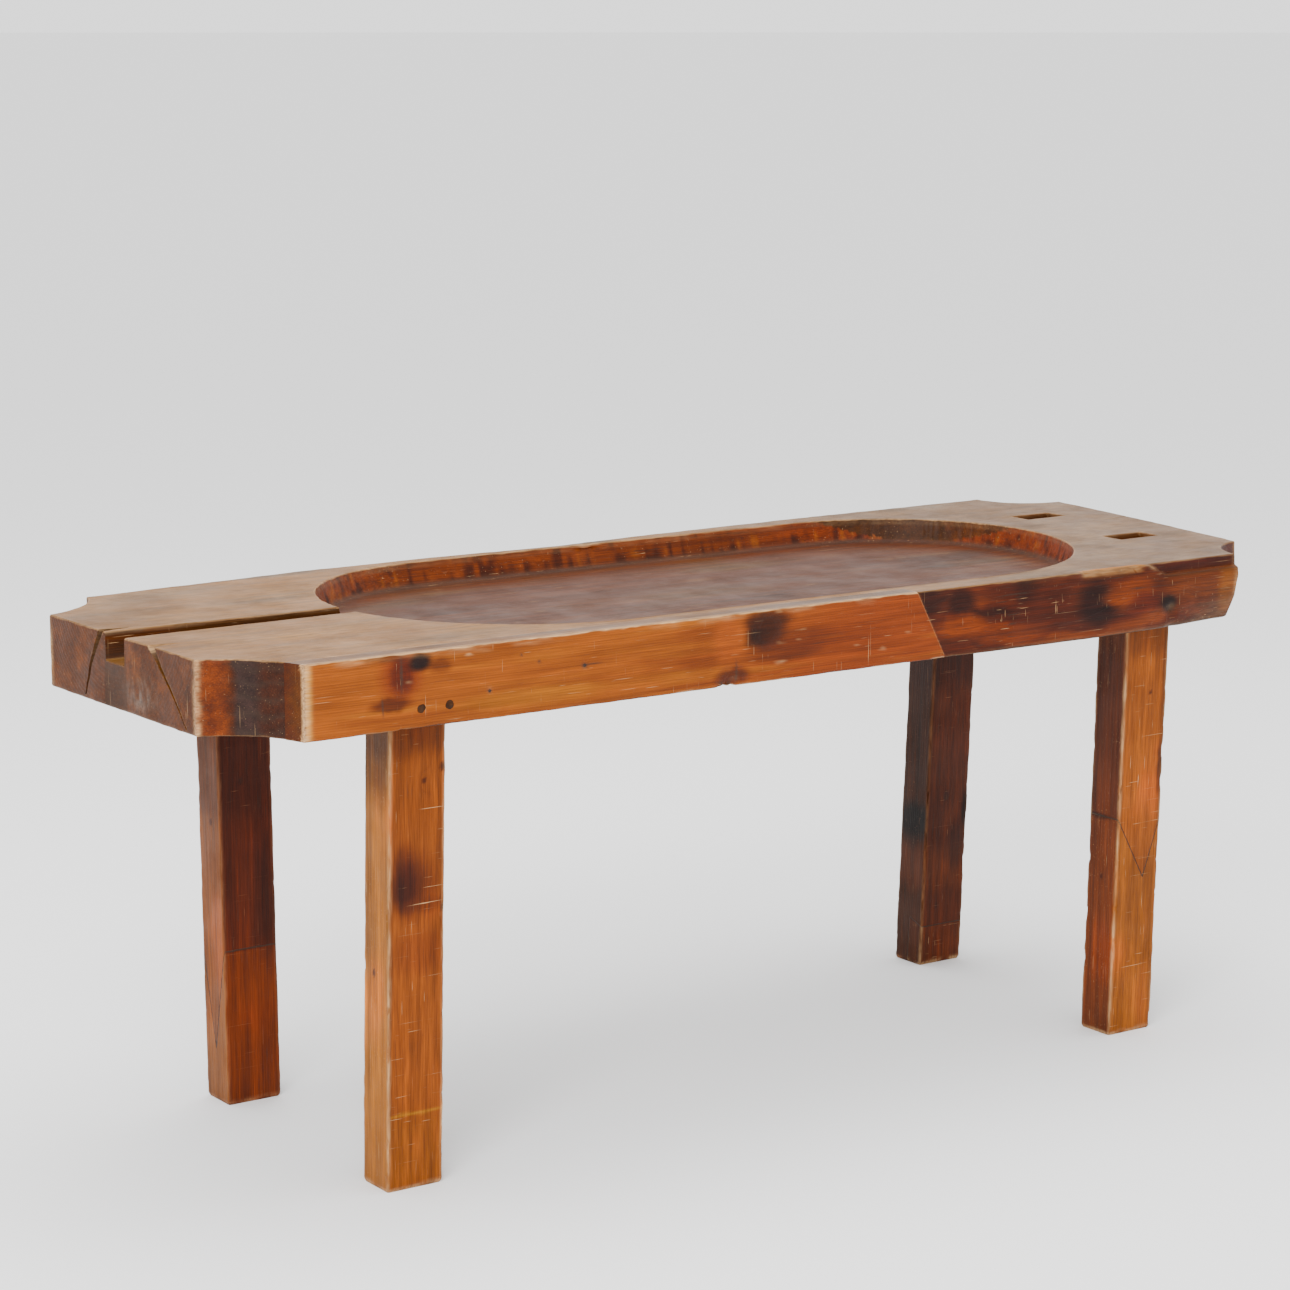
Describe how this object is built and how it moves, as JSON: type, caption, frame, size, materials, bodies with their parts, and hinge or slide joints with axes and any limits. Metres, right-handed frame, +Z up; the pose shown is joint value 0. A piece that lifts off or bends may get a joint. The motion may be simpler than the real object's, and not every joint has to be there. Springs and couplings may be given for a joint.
{
  "type": "cheese making table",
  "caption": "Farmhouse cheese making table: thick hewn pine slab with a carved oval draining basin, a drain channel and two press mortises, on four square legs.",
  "frame": {"origin": "on the floor, under the middle of the slab", "axes": "+X along the slab, away from the drain end; -Y is the front with the let-in board; +Z up"},
  "size_m": [1.89, 0.7, 0.75],
  "materials": {
    "slab_pine": "scrubbed, stained old pine",
    "board_pine": "oiled honey-brown pine",
    "leg_pine": "worn, oiled pine",
    "dark_leg_pine": "dark, sooty oiled pine",
    "peg_wood": "dark end grain",
    "nail_iron": "blackened wrought iron"
  },
  "bodies": {
    "root": {"slab": "slab_pine", "front_edge_board": "board_pine", "board_nails": "nail_iron", "leg_front_left": "leg_pine", "leg_back_left": "dark_leg_pine", "leg_back_left_foot": "dark_leg_pine", "leg_front_right": "leg_pine", "leg_front_right_foot": "leg_pine", "leg_back_right": "dark_leg_pine", "leg_back_right_foot_patch": "leg_pine", "front_left_leg_pegs": "peg_wood", "front_right_leg_peg": "peg_wood", "back_left_leg_pegs": "peg_wood", "back_right_leg_peg": "peg_wood"}
  },
  "joints": []
}
